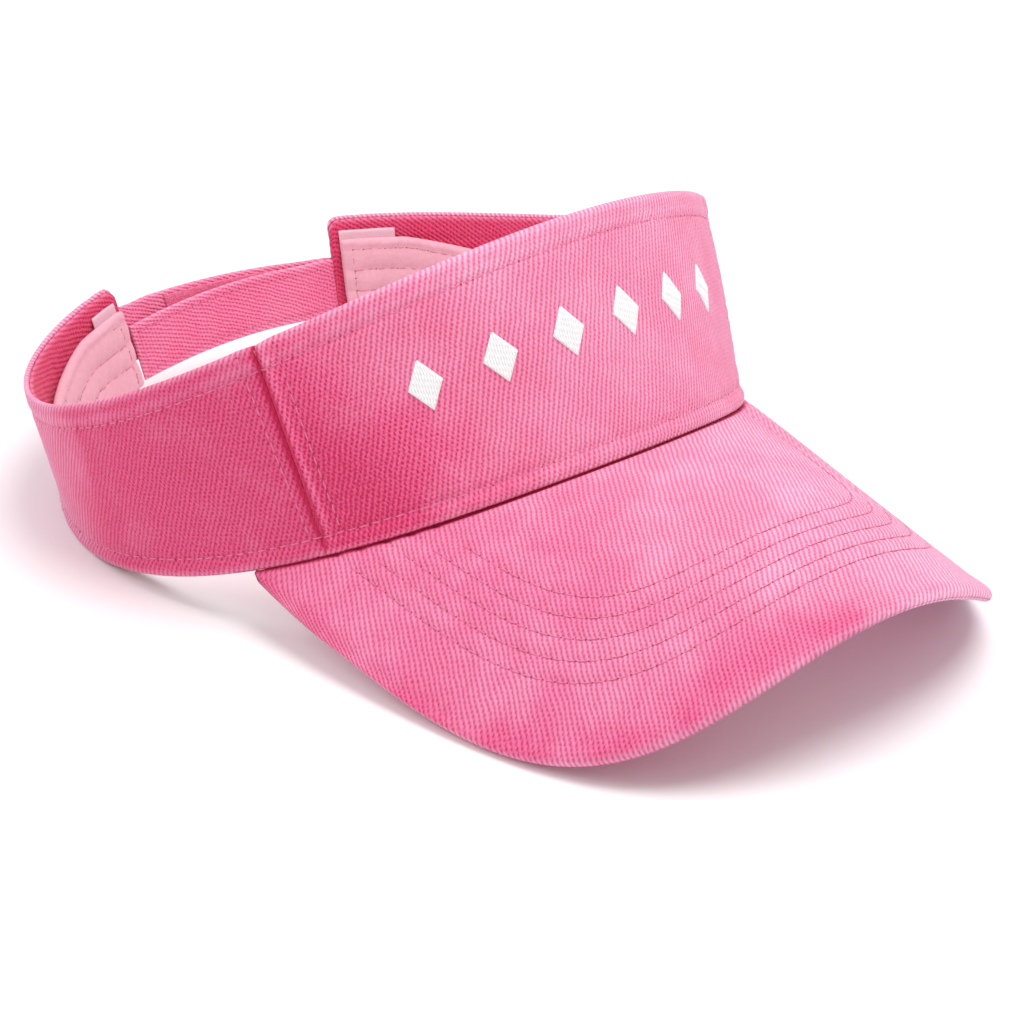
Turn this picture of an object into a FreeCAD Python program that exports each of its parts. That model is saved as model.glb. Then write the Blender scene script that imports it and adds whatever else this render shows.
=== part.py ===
import FreeCAD, Part
import math
import os

# Sun visor: a cotton-twill headband with a curved peak and a two-strap hook-and-loop closure.
# Frame: front faces -Y, +X is the wearer's left, +Z is up, the floor it stands on is z = 0.
# The Z axis passes through the centre of the head opening.  Sizes are mm, angles are degrees.
# Angles round the head are counted from the centre of the front, positive towards +X.

# ---- overall size of the band ----
HEAD_HALF_WIDTH = 91.0       # half the width of the band's lower edge
HEAD_HALF_LENGTH = 88.5      # half the length of the band's lower edge
LOWER_SETBACK = 12.8         # how far the lower edge's widest place lies behind the middle
LOWER_FRONT, LOWER_SIDE, LOWER_BACK = 45.4, 2.0, 16.4    # heights of the lower edge
FLARE = 6.2                  # how much further out the upper edge is at each side
UPPER_FRONT_Y, UPPER_BACK_Y = -57.2, 96.7                # upper edge at the front and back
UPPER_SETBACK = 3.9
UPPER_FRONT, UPPER_SIDE, UPPER_BACK = 97.6, 45.7, 40.0   # heights of the upper edge

# ---- layers of the band, as offsets outwards from its middle surface ----
OUTER_CLOTH = (0.5, 1.2)
STIFFENER = (-0.2, 0.4)
LINING = (-1.0, -0.3)
SEAM_ALLOWANCE = (-1.8, -1.1)
LABEL_OFFSET = (-2.1, -1.65)
SWEATBAND_BACK, SWEATBAND_FACE = -2.5, -4.6
SWEATBAND_CLOTH = 0.6
PAD_CLEARANCE = 0.15
THREAD = 0.45                # thread thickness
THREAD_CLEARANCE = 0.05

# ---- panels ----
FRONT_PANEL_ANGLE = 49.5     # seam between the front panel and each side panel
PANEL_END_ANGLE = 157.0      # where each side panel stops
SWEATBAND_HEIGHT = 24.0
SWEATBAND_END_CLEARANCE = 5.8    # of the sweatband below the upper edge at the panel ends
SWEATBAND_END_INSET = 2.2    # of the sweatband from each panel end
SEAM_HALF_GAP = 0.05         # degrees left between panels that are sewn edge to edge
STIFFENER_INSET = 1.5        # of the stiffener inside the cloth's edges
STIFFENER_TAIL_GAP = 0.5     # degrees left between the interlining and a strap's tail
ALLOWANCE_HEIGHT = 9.0       # of the peak's sewing allowance, turned up inside
CARE_LABEL_WIDTH, SIZE_LABEL_WIDTH = 17.0, 10.5
LABEL_BOTTOM = 4.0           # of both labels above the band's lower edge
LABEL_END_INSET = 2.4        # of both labels from the panel ends
CARE_LABEL_TOP, SIZE_LABEL_TOP = 3.4, 3.6                # below the band's upper edge

# ---- peak ----
BRIM_SEAM_ANGLE = 61.7       # the peak is sewn to the band from here to the centre
BRIM_REACH = 87.6            # how far the peak stands out in front of the band
BRIM_SHOULDER = 20.5         # its widest place, counted forwards from the seam
BRIM_HALF_WIDTH = 77.0
BRIM_SWEEP_ANGLE = 97.2
BRIM_SQUARENESS = 0.71
BRIM_FRONT, BRIM_QUARTER, BRIM_HEEL = 32.0, 5.1, -17.6   # heights that set the edge's curve
BRIM_BULGE = 2.1
BRIM_CLOTH = 0.7
BRIM_BOARD_THICKNESS = 1.6
BRIM_LAYER_GAP = 0.1
BRIM_EDGE_ROLL = 3.5         # width of the edge where top and under cloth come together
BRIM_BOARD_SETBACK = 4.5
BRIM_END_TRIM = 0.975
BRIM_ROW_FIRST = 18.7        # outermost row of stitching, from the edge
BRIM_ROW_PITCH = 5.1
BRIM_ROWS = 5

# ---- closure straps ----
STRAP_WIDTH = 16.0
STRAP_THICKNESS = 1.2
TAPE_THICKNESS = 0.7
STRAP_GAP = 0.35             # left between the two straps so that each can turn freely
HINGE_BEYOND_PANEL = 2.0     # the fold each strap turns about, past its panel's end
HINGE_CLEARANCE = 0.35
FREE_END_CLEARANCE = 1.8     # between the inner strap's free end and the far panel's end
OUTER_OVERLAP = 11.0         # how far the outer strap lies over the far panel
STRAP_EASE = 0.3             # share of the half gap over which a strap eases past the other
OUTER_EASE = 0.35            # and over which the outer strap climbs on to the panel
PANEL_GAP = 0.35             # between the outer strap and the stitching it lies over
TAPE_INSET = 1.2             # of the tapes inside the straps' long edges
TAPE_HINGE_INSET = 0.39      # of the tapes from the straps' sewn ends, as a share of the half gap
LOOP_END_INSET, HOOK_END_INSET = 9.5, 29.0               # of the tapes from the free ends
TAPE_GAP = 0.05
STRAP_SAG = 3.5              # the straps run flatter than the head between the panels
TAIL_LENGTH = 14.0

# ---- embroidery ----
MOTIF_COUNT = 6
MOTIF_PITCH_ANGLE = 11.4
MOTIF_WIDTH, MOTIF_HEIGHT, MOTIF_THICKNESS = 9.0, 13.0, 0.8
MOTIF_LEVEL = 0.56           # fraction of the panel's height
MOTIF_LIFT = 0.15            # of the embroidery off the curved cloth at its centre

# ---- rows of stitching ----

HEM_UPPER, HEM_LOWER = 6.5, 4.5                          # from the band's edges
SEAM_STITCHES = (-5.5, 2.75) # from each side seam, on the front and on the side panel
END_STITCHES = (3.0, 9.0)    # from each panel end
SWEATBAND_STITCHES = (2.5, 8.5, 14.5)                    # below the sweatband's upper edge
ROW_END_GAP = 1.0            # between rows that would cross
HEM_END_INSET = 3.2          # of the hem rows from the panel ends


def rad(angle):
    return angle * math.pi / 180.0


def wave(turn, front, side, back):
    """A height that is front, side and back at 0, 90 and 180 degrees."""
    first = (front - back) / 2.0
    second = (front + back - 2.0 * side) / 4.0
    mean = (front + back + 2.0 * side) / 4.0
    return mean + first * math.cos(turn) + second * math.cos(2.0 * turn)


def edge_point(angle, half_width, front_y, back_y, setback, heights):
    """A point of the lower or upper edge of the band's middle surface."""
    turn = rad(angle)
    half_length = (back_y - front_y) / 2.0
    x = half_width * math.sin(turn)
    y = (back_y + front_y) / 2.0 - half_length * math.cos(turn) + setback * math.sin(turn) ** 2
    return FreeCAD.Vector(x, y, wave(turn, *heights))


def lower_edge(angle):
    heights = (LOWER_FRONT, LOWER_SIDE, LOWER_BACK)
    return edge_point(angle, HEAD_HALF_WIDTH, -HEAD_HALF_LENGTH, HEAD_HALF_LENGTH, LOWER_SETBACK, heights)


def upper_edge(angle):
    heights = (UPPER_FRONT, UPPER_SIDE, UPPER_BACK)
    return edge_point(angle, HEAD_HALF_WIDTH + FLARE, UPPER_FRONT_Y, UPPER_BACK_Y, UPPER_SETBACK, heights)


def outwards(angle):
    """The level direction pointing out of the band at this angle."""
    low_step = lower_edge(angle + 0.5) - lower_edge(angle - 0.5)
    step = low_step + upper_edge(angle + 0.5) - upper_edge(angle - 0.5)
    return FreeCAD.Vector(step.y, -step.x, 0.0).normalize()


def lower(angle, offset=0.0):
    return lower_edge(angle) + outwards(angle) * offset


def upper(angle, offset=0.0):
    return upper_edge(angle) + outwards(angle) * offset


def band(angle, level, offset):
    """A point of the band: level 0 is its lower edge and level 1 its upper edge."""
    middle = lower_edge(angle) * (1.0 - level) + upper_edge(angle) * level
    return middle + outwards(angle) * offset


def slant(angle):
    return (upper(angle) - lower(angle)).Length


def arc_angle(angle, length):
    """How many degrees round the band cover this length at this place."""
    step = (lower(angle + 0.5) - lower(angle - 0.5)).Length
    return length / step


def prism(corners_list, straight=False):
    """A solid lofted through four-cornered sections."""
    wires = [Part.makePolygon(corners + [corners[0]]) for corners in corners_list]
    return Part.makeLoft(wires, True, straight)


def band_sheet(start, end, bottom, top, offsets, count=0, shift=None):
    """A layer of the band from one angle to another; bottom and top are levels at an angle."""
    count = count or max(7, int(abs(end - start) / 6.0))
    sections = []
    for step in range(count + 1):
        angle = start + (end - start) * step / count
        low, high = bottom(angle), top(angle)
        inner, outer = offsets
        if shift:
            inner, outer = inner + shift(angle), outer + shift(angle)
        corners = [band(angle, low, inner), band(angle, low, outer), band(angle, high, outer)]
        sections.append(corners + [band(angle, high, inner)])
    return prism(sections)


def at_level(value):
    return lambda angle: value


def from_bottom(distance):
    return lambda angle: distance / slant(angle)


def from_top(distance):
    return lambda angle: 1.0 - distance / slant(angle)


def mirrored(shape):
    return shape.mirror(FreeCAD.Vector(0, 0, 0), FreeCAD.Vector(1, 0, 0))


# ---------------------------------------------------------------- the peak's surface
def signed_power(value, power):
    return math.copysign(abs(value) ** power, value)


brim_lift = [0.0]            # set below so that the peak and the band rest on the same floor


def brim_edge_free(along):
    """The peak's outer line before its heels are drawn on to the band; along runs -1 to 1."""
    turn = rad(BRIM_SWEEP_ANGLE) * along
    depth = BRIM_REACH - BRIM_SHOULDER
    x = BRIM_HALF_WIDTH * math.sin(turn)
    y = -HEAD_HALF_LENGTH - BRIM_SHOULDER - depth * signed_power(math.cos(turn), BRIM_SQUARENESS)
    z = wave(math.pi * along, BRIM_FRONT, BRIM_QUARTER, BRIM_HEEL) + brim_lift[0]
    return FreeCAD.Vector(x, y, z)


def brim_seam(along):
    return lower(along * BRIM_SEAM_ANGLE, OUTER_CLOTH[1] + THREAD_CLEARANCE)


def brim_edge(along):
    side = math.copysign(1.0, along)
    heel = brim_seam(side) - brim_edge_free(side)
    return brim_edge_free(along) + heel * abs(along) ** 4


def brim_middle(along, out):
    """A point of the peak's upper surface: out is 0 at the seam and 1 at the edge."""
    point = brim_seam(along) * (1.0 - out) + brim_edge(along) * out
    point.z += BRIM_BULGE * 4.0 * out * (1.0 - out) * (1.0 - along ** 2)
    return point


def brim_normal(along, out):
    step = 0.004
    low, high = max(along - step, -1.0), min(along + step, 1.0)
    across = brim_middle(high, out) - brim_middle(low, out)
    inside, outside = max(out - step, 0.0), min(out + step, 1.0)
    outwards = brim_middle(along, outside) - brim_middle(along, inside)
    normal = outwards.cross(across)
    return normal.normalize()


BRIM_DEPTH = 2.0 * BRIM_CLOTH + BRIM_BOARD_THICKNESS + 2.0 * BRIM_LAYER_GAP


def brim_point(along, out, depth):
    """A point at a depth under the peak's upper surface, drawn in where the edge is rolled."""
    length = (brim_edge(along) - brim_seam(along)).Length
    from_edge = length * (1.0 - out)
    middle = BRIM_DEPTH / 2.0
    if from_edge < BRIM_EDGE_ROLL:
        fullness = math.sqrt(1.0 - (1.0 - from_edge / BRIM_EDGE_ROLL) ** 2)
        thin = 0.48 + 0.52 * fullness
        depth = middle + (depth - middle) * thin
    return brim_middle(along, out) - brim_normal(along, out) * (depth - middle * out)


def brim_outs(along, first, setback):
    """Places across the peak, closer together over its rolled edge."""
    length = (brim_edge(along) - brim_seam(along)).Length
    last = 1.0 - setback / length
    roll = min(BRIM_EDGE_ROLL / length, 0.45 * (last - first)) if setback < 1.0 else 0.0
    start = first / length
    outs = [start + (last - roll - start) * step / 8.0 for step in range(9)]
    if roll:
        outs += [last - roll * (1.0 - part) for part in (0.35, 0.7, 1.0)]
    return outs


def surface(rows):
    """A smooth surface through rows of points."""
    spline = Part.BSplineSurface()
    spline.interpolate(rows)
    return spline


def thick_sheet(above_rows, below_rows):
    """A solid between two surfaces that have the same rows and columns of points."""
    above, below = surface(above_rows), surface(below_rows)
    faces = [above.toShape(), below.toShape()]
    u0, u1, v0, v1 = above.bounds()
    p0, p1, q0, q1 = below.bounds()
    pairs = (
        (above.uIso(u0), below.uIso(p0)), (above.uIso(u1), below.uIso(p1)),
        (above.vIso(v0), below.vIso(q0)), (above.vIso(v1), below.vIso(q1)),
    )
    for first, second in pairs:
        faces.append(Part.makeRuledSurface(first.toShape(), second.toShape()))
    shell = Part.makeCompound(faces)
    shell.sewShape(0.001)
    solid = Part.Solid(shell.Shells[0] if shell.Shells else Part.Shell(shell.Faces))
    if solid.Volume < 0:
        solid.reverse()
    return solid


def brim_layer(top_depth, bottom_depth, first, setback, trim):
    """A layer of the peak between two depths, from heel to heel."""
    count = 60
    above, below = [], []
    for step in range(count + 1):
        along = -trim + 2.0 * trim * step / count
        outs = brim_outs(along, first, setback)
        above.append([brim_point(along, out, top_depth) for out in outs])
        below.append([brim_point(along, out, bottom_depth) for out in outs])
    return thick_sheet(above, below)


def brim_row_place(along, distance, edge_points):
    """How far out a row of stitching lies that keeps this distance from the edge, or None."""
    def nearest(out):
        point = brim_middle(along, out)
        return min((point - other).Length for other in edge_points)

    near_edge = 1.0
    while nearest(near_edge - 0.04) < distance:
        near_edge -= 0.04
        if near_edge < 0.06:
            return None
    near_seam = near_edge - 0.04
    for _ in range(12):
        middle = (near_edge + near_seam) / 2.0
        if nearest(middle) < distance:
            near_edge = middle
        else:
            near_seam = middle
    return near_edge


def brim_stitch_row(distance, edge_points):
    sections = []
    previous = None
    for step in range(-60, 61):
        along = 0.94 * step / 60.0
        out = brim_row_place(along, distance, edge_points)
        if out is None:
            continue
        centre = brim_point(along, out, 0.0)
        if previous and (centre - previous).Length < 1.2:
            continue
        previous = centre
        normal = brim_normal(along, out)
        across = (brim_middle(along, out + 0.01) - brim_middle(along, out)).normalize() * (THREAD / 2.0)
        low = centre + normal * THREAD_CLEARANCE
        high = low + normal * THREAD
        sections.append([low - across, low + across, high + across, high - across])
    return prism(sections, True)


# the peak's underside comes down to the level of the band's lowest place
band_lowest = min(lower_edge(step * 2.0).z for step in range(79))
for _ in range(6):
    places = [-0.9 + 0.02 * step for step in range(91)]
    undersides = [brim_point(along, 1.0 - 0.02 * n, BRIM_DEPTH).z for along in places for n in range(5)]
    brim_lift[0] += (band_lowest - min(undersides)) * 1.3

# ---------------------------------------------------------------- the band's panels
parts = {}
panel_end = PANEL_END_ANGLE
whole_front = (-FRONT_PANEL_ANGLE + SEAM_HALF_GAP, FRONT_PANEL_ANGLE - SEAM_HALF_GAP)
side_span = (FRONT_PANEL_ANGLE + SEAM_HALF_GAP, panel_end)

for name, layer in (("front_panel", OUTER_CLOTH), ("front_buckram", STIFFENER), ("front_lining", LINING)):
    inset = STIFFENER_INSET if name == "front_buckram" else 0.0
    parts[name] = band_sheet(whole_front[0], whole_front[1], from_bottom(inset), from_top(inset), layer)

# side panels: twill outside, a soft interlining and a twill lining inside
tail_angle = arc_angle(panel_end, TAIL_LENGTH)
side_pieces = (
    ("side_panel", OUTER_CLOTH, side_span[1], 0.0),
    ("side_lining", LINING, side_span[1], 0.0),
    ("side_interlining", STIFFENER, side_span[1] - tail_angle - STIFFENER_TAIL_GAP, STIFFENER_INSET),
)
for name, layer, stop, inset in side_pieces:
    left = band_sheet(side_span[0], stop, from_bottom(inset), from_top(inset), layer)
    parts[name + "_left"] = left
    parts[name + "_right"] = mirrored(left)

# the peak's sewing allowance, turned up inside the band behind the sweatband
allowance_end = BRIM_SEAM_ANGLE - 1.0
allowance_levels = (at_level(0.0), from_bottom(ALLOWANCE_HEIGHT))
parts["peak_seam_tape"] = band_sheet(-allowance_end, allowance_end, *allowance_levels, SEAM_ALLOWANCE)


# sweatband: one folded strip round the inside with a soft pad in its fold
def sweatband_top(angle):
    return min(SWEATBAND_HEIGHT, slant(angle) - SWEATBAND_END_CLEARANCE) / slant(angle)


def sweatband_pad_top(angle):
    return sweatband_top(angle) - (SWEATBAND_CLOTH + PAD_CLEARANCE) / slant(angle)


def below_band(angle):
    return -1.0 / slant(angle)


sweat_end = panel_end - arc_angle(panel_end, SWEATBAND_END_INSET)
wall_angle = arc_angle(panel_end, 2.0 * SWEATBAND_CLOTH)
cover = band_sheet(-sweat_end, sweat_end, at_level(0.0), sweatband_top, (SWEATBAND_FACE, SWEATBAND_BACK))
cavity_offsets = (SWEATBAND_FACE + SWEATBAND_CLOTH, SWEATBAND_BACK - SWEATBAND_CLOTH)
cavity_end = sweat_end - wall_angle
cavity = band_sheet(-cavity_end, cavity_end, below_band, sweatband_pad_top, cavity_offsets)
parts["sweatband"] = cover.cut(cavity)
pad_offsets = (cavity_offsets[0] + PAD_CLEARANCE, cavity_offsets[1] - PAD_CLEARANCE)
pad_end = cavity_end - arc_angle(panel_end, SWEATBAND_CLOTH)


def pad_top(angle):
    return sweatband_pad_top(angle) - PAD_CLEARANCE / slant(angle)


pad_bottom = from_bottom(4.0 * PAD_CLEARANCE)
parts["sweatband_pad"] = band_sheet(-pad_end, pad_end, pad_bottom, pad_top, pad_offsets)

# labels sewn in behind the sweatband's free edge
label_end = panel_end - arc_angle(panel_end, LABEL_END_INSET)
care_start = label_end - arc_angle(panel_end, CARE_LABEL_WIDTH)
care_levels = (from_bottom(LABEL_BOTTOM), from_top(CARE_LABEL_TOP))
parts["care_label"] = band_sheet(care_start, label_end, care_levels[0], care_levels[1], LABEL_OFFSET)
size_end = -label_end + arc_angle(panel_end, SIZE_LABEL_WIDTH)
size_levels = (from_bottom(LABEL_BOTTOM), from_top(SIZE_LABEL_TOP))
parts["size_label"] = band_sheet(-label_end, size_end, size_levels[0], size_levels[1], LABEL_OFFSET)

# ---------------------------------------------------------------- the peak
top_cloth = (0.0, BRIM_CLOTH)
board_start = BRIM_CLOTH + BRIM_LAYER_GAP
board = (board_start, board_start + BRIM_BOARD_THICKNESS)
under_start = board[1] + BRIM_LAYER_GAP
parts["peak_top_cover"] = brim_layer(top_cloth[0], top_cloth[1], 0.0, 0.0, BRIM_END_TRIM)
parts["peak_under_cover"] = brim_layer(under_start, BRIM_DEPTH, 0.0, 0.0, BRIM_END_TRIM)
parts["peak_board"] = brim_layer(board[0], board[1], 1.0, BRIM_BOARD_SETBACK, BRIM_END_TRIM - 0.05)

edge_points = [brim_edge(-1.0 + step / 100.0) for step in range(201)]
rows = [brim_stitch_row(BRIM_ROW_FIRST + row * BRIM_ROW_PITCH, edge_points) for row in range(BRIM_ROWS)]
parts["peak_topstitching"] = Part.makeCompound(rows)

# ---------------------------------------------------------------- the closure straps
# Angles between the panel ends run from panel_end on the left, through 180, to 360 - panel_end.
hinge_step = arc_angle(panel_end, HINGE_BEYOND_PANEL)
half_gap = 180.0 - panel_end


def across_gap(angle):
    """0 at the middle of the back and 1 at each panel end."""
    return abs(angle - 180.0) / half_gap


def sag(angle):
    return -STRAP_SAG * (1.0 - across_gap(angle) ** 2) if across_gap(angle) < 1.0 else 0.0


def strap_low_inner(angle):
    return -0.05 - 0.03 * (1.0 - across_gap(angle) ** 2)


def strap_low_outer(angle):
    part = (angle - panel_end) / (2.0 * half_gap)
    return -0.07 + 0.23 * max(part, 0.0) ** 2


def strap_high(low):
    return lambda angle: low(angle) + STRAP_WIDTH / slant(angle)


def ease(part):
    part = min(max(part, 0.0), 1.0)
    return part * part * (3.0 - 2.0 * part)


loop_face = -STRAP_GAP / 2.0
hook_face = STRAP_GAP / 2.0
inner_centre = loop_face - TAPE_THICKNESS - TAPE_GAP - STRAP_THICKNESS / 2.0
outer_centre = hook_face + TAPE_THICKNESS + TAPE_GAP + STRAP_THICKNESS / 2.0
over_panel = OUTER_CLOTH[1] + THREAD_CLEARANCE + THREAD + PANEL_GAP + STRAP_THICKNESS / 2.0
ease_angle = STRAP_EASE * half_gap
climb_angle = OUTER_EASE * half_gap


def inner_shift(angle):
    """The inner strap leaves its panel's middle and eases inwards past the outer strap."""
    part = (angle - panel_end - hinge_step) / ease_angle
    return inner_centre * ease(part) + sag(angle)


def outer_shift(angle):
    """The outer strap eases outwards, and lies on the outside of the far panel's end."""
    part = (360.0 - panel_end - hinge_step - angle) / ease_angle
    lift = (over_panel - outer_centre) * ease((panel_end + climb_angle - angle) / climb_angle)
    return (outer_centre + lift) * ease(part) + sag(angle)


half_strap = (-STRAP_THICKNESS / 2.0, STRAP_THICKNESS / 2.0)
left_hinge = panel_end + hinge_step
right_hinge = 360.0 - panel_end - hinge_step
inner_free_end = 360.0 - panel_end - arc_angle(panel_end, FREE_END_CLEARANCE)
outer_free_end = panel_end - arc_angle(panel_end, OUTER_OVERLAP)


def hinge_bead(angle, low, high):
    """The rounded fold at a strap's sewn end, centred on the line it turns about."""
    start, end = band(angle, low, 0.0), band(angle, high, 0.0)
    axis = end - start
    return Part.makeCylinder(STRAP_THICKNESS / 2.0, axis.Length, start, axis)


def strap(hinge, free_end, low, shift):
    high = strap_high(low)
    body = band_sheet(hinge, free_end, low, high, half_strap, 22, shift)
    bead = hinge_bead(hinge, low(hinge), high(hinge))
    return body.fuse(bead).removeSplitter()


parts["inner_strap"] = strap(left_hinge, inner_free_end, strap_low_inner, inner_shift)
parts["outer_strap"] = strap(right_hinge, outer_free_end, strap_low_outer, outer_shift)


def inset_low(low, inset):
    return lambda angle: low(angle) + inset / slant(angle)


def inset_high(low, inset):
    return lambda angle: low(angle) + (STRAP_WIDTH - inset) / slant(angle)


tape_face = STRAP_THICKNESS / 2.0 + TAPE_GAP
loop_offsets = (tape_face, tape_face + TAPE_THICKNESS)
hook_offsets = (-loop_offsets[1], -loop_offsets[0])
tape_start = TAPE_HINGE_INSET * half_gap
loop_end = 360.0 - panel_end - arc_angle(panel_end, LOOP_END_INSET)
hook_end = outer_free_end + arc_angle(panel_end, HOOK_END_INSET)
loop_levels = (inset_low(strap_low_inner, TAPE_INSET), inset_high(strap_low_inner, TAPE_INSET))
hook_levels = (inset_low(strap_low_outer, TAPE_INSET), inset_high(strap_low_outer, TAPE_INSET))
loop_span = (left_hinge + tape_start, loop_end)
hook_span = (right_hinge - tape_start, hook_end)
parts["loop_tape"] = band_sheet(*loop_span, *loop_levels, loop_offsets, 16, inner_shift)
parts["hook_tape"] = band_sheet(*hook_span, *hook_levels, hook_offsets, 14, outer_shift)

# the straps' sewn tails, caught between the panel's twill and its lining
tail_start = panel_end - tail_angle
tail_gap = arc_angle(panel_end, STRAP_THICKNESS / 2.0 + HINGE_CLEARANCE)
tail_offsets = (LINING[1] + TAPE_GAP, OUTER_CLOTH[0] - TAPE_GAP)
tail_bottom = 0.04           # the lowest level of a tail, just inside the band's lower edge


def tail(low, hinge):
    bottom = max(low(hinge), tail_bottom)
    top = low(hinge) + STRAP_WIDTH / slant(hinge)
    return band_sheet(tail_start, left_hinge - tail_gap, at_level(bottom), at_level(top), tail_offsets)


parts["inner_strap_tail"] = tail(strap_low_inner, left_hinge)
parts["outer_strap_tail"] = mirrored(tail(strap_low_outer, right_hinge))

# ---------------------------------------------------------------- embroidery
motif = []
for number in range(MOTIF_COUNT):
    angle = (number - (MOTIF_COUNT - 1) / 2.0) * MOTIF_PITCH_ANGLE
    centre = band(angle, MOTIF_LEVEL, OUTER_CLOTH[1])
    sideways = (band(angle + 0.5, MOTIF_LEVEL, OUTER_CLOTH[1]) - centre).normalize()
    upwards = (upper(angle) - lower(angle)).normalize()
    normal = sideways.cross(upwards).normalize()
    upwards = normal.cross(sideways)
    base = centre + normal * MOTIF_LIFT
    corners = [base - sideways * (MOTIF_WIDTH / 2.0), base - upwards * (MOTIF_HEIGHT / 2.0)]
    corners += [base + sideways * (MOTIF_WIDTH / 2.0), base + upwards * (MOTIF_HEIGHT / 2.0)]
    face = Part.Face(Part.makePolygon(corners + [corners[0]]))
    motif.append(face.extrude(normal * MOTIF_THICKNESS))
parts["front_embroidery"] = Part.makeCompound(motif)


# ---------------------------------------------------------------- seams and hems
def thread_row(start, end, centre, surface, outward=True):
    """A line of stitching along the band at a level, standing on a face of the cloth."""
    near = surface + THREAD_CLEARANCE
    offsets = (near, near + THREAD)
    if not outward:
        offsets = (surface - THREAD_CLEARANCE - THREAD, surface - THREAD_CLEARANCE)

    def low(angle):
        return centre(angle) - THREAD / 2.0 / slant(angle)

    def high(angle):
        return centre(angle) + THREAD / 2.0 / slant(angle)

    return band_sheet(start, end, low, high, offsets)


def thread_upright(angle, surface):
    """A line of stitching that crosses the band at one angle."""
    half = arc_angle(angle, THREAD / 2.0)
    near = surface + THREAD_CLEARANCE
    low, high = from_bottom(HEM_LOWER + ROW_END_GAP), from_top(HEM_UPPER + ROW_END_GAP)
    return band_sheet(angle - half, angle + half, low, high, (near, near + THREAD), 2)


twill = OUTER_CLOTH[1]
hem_end = panel_end - arc_angle(panel_end, HEM_END_INSET)
parts["upper_hem_stitching"] = thread_row(-hem_end, hem_end, from_top(HEM_UPPER), twill)
parts["lower_hem_stitching"] = thread_row(-hem_end, hem_end, from_bottom(HEM_LOWER), twill)
seam_lines = []
for side in (-1.0, 1.0):
    for distance in SEAM_STITCHES:
        angle = side * (FRONT_PANEL_ANGLE + arc_angle(FRONT_PANEL_ANGLE, distance))
        seam_lines.append(thread_upright(angle, twill))
parts["seam_stitching"] = Part.makeCompound(seam_lines)
end_lines = []
for side in (-1.0, 1.0):
    for distance in END_STITCHES:
        angle = side * (panel_end - arc_angle(panel_end, distance))
        end_lines.append(thread_upright(angle, twill))
parts["panel_end_stitching"] = Part.makeCompound(end_lines)

sweat_rows = []
quilt_end = cavity_end - wall_angle
for distance in SWEATBAND_STITCHES:
    def row_level(angle, below=distance):
        return sweatband_top(angle) - below / slant(angle)
    sweat_rows.append(thread_row(-quilt_end, quilt_end, row_level, SWEATBAND_FACE, False))
parts["sweatband_stitching"] = Part.makeCompound(sweat_rows)

os.makedirs("parts", exist_ok=True)
lowest = min(point.z for shape in parts.values() for point in shape.tessellate(0.05)[0])
for name, shape in parts.items():
    shape.translate(FreeCAD.Vector(0, 0, -lowest))
    shape.exportStep("parts/%s.step" % name)
    box = shape.optimalBoundingBox(True, False)
    print("%-22s solids %d valid %s volume %.1f z %.2f..%.2f" % (
        name, len(shape.Solids), shape.isValid(), shape.Volume, box.ZMin, box.ZMax))
print("lifted by %.3f" % -lowest)
for label, angle, low in (("inner", left_hinge, strap_low_inner), ("outer", right_hinge, strap_low_outer)):
    start = band(angle, low(angle), 0.0)
    axis = (upper(angle) - lower(angle)).normalize()
    print(label, "hinge at %.3f %.3f %.3f" % (start.x, start.y, start.z - lowest),
          "axis %.5f %.5f %.5f" % (axis.x, axis.y, axis.z))
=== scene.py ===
import math
import bpy
import numpy as np
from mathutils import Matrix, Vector


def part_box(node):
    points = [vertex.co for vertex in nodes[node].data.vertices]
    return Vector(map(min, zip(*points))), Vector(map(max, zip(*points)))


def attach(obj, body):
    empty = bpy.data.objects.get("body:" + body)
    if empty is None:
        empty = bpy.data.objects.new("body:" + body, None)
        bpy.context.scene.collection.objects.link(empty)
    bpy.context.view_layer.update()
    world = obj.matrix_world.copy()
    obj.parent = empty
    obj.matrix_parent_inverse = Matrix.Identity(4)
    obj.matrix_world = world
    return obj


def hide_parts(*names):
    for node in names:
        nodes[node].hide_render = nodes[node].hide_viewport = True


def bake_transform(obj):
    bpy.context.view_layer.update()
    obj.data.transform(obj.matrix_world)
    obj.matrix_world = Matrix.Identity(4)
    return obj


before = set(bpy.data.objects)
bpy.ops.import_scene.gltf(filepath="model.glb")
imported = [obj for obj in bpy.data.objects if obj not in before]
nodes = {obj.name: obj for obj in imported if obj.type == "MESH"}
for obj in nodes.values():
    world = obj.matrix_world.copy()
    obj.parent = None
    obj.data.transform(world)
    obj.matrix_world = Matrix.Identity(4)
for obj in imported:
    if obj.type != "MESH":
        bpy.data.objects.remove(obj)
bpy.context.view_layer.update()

# ---- Front panel ----
# One piece of washed cotton twill over stiffened interlining, cut wide and sewn at both side seams.
# Its upper edge is turned in against the lining and its lower edge is turned up over the peak's seam.
# Sizes in this file are millimetres and degrees; angles run round the head from the centre of the front.
HEAD_HALF_WIDTH, HEAD_HALF_LENGTH, FLARE = 91.0, 88.5, 6.2
LOWER_SETBACK, UPPER_SETBACK = 12.8, 3.9
UPPER_FRONT_Y, UPPER_BACK_Y = -57.2, 96.7
LOWER_HEIGHTS, UPPER_HEIGHTS = (45.4, 2.0, 16.4), (97.6, 45.7, 40.0)
floor_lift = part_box("front_panel")[1].z * 1000.0 - UPPER_HEIGHTS[0]
FRONT_SEAM, PANEL_END = 49.5, 157.0
CLOTH = 0.8
UPPER_HEM, LOWER_HEM, SEAM_ROW = 6.5, 4.5, 5.5
# PINK_WASHED_AND_LIT is the pale colour for both rubbed cloth and painted light.
PINK_RIB, PINK_VALLEY, PINK_WASHED_AND_LIT = (0.95, 0.175, 0.365), (0.60, 0.022, 0.10), (0.97, 0.54, 0.75)


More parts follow.
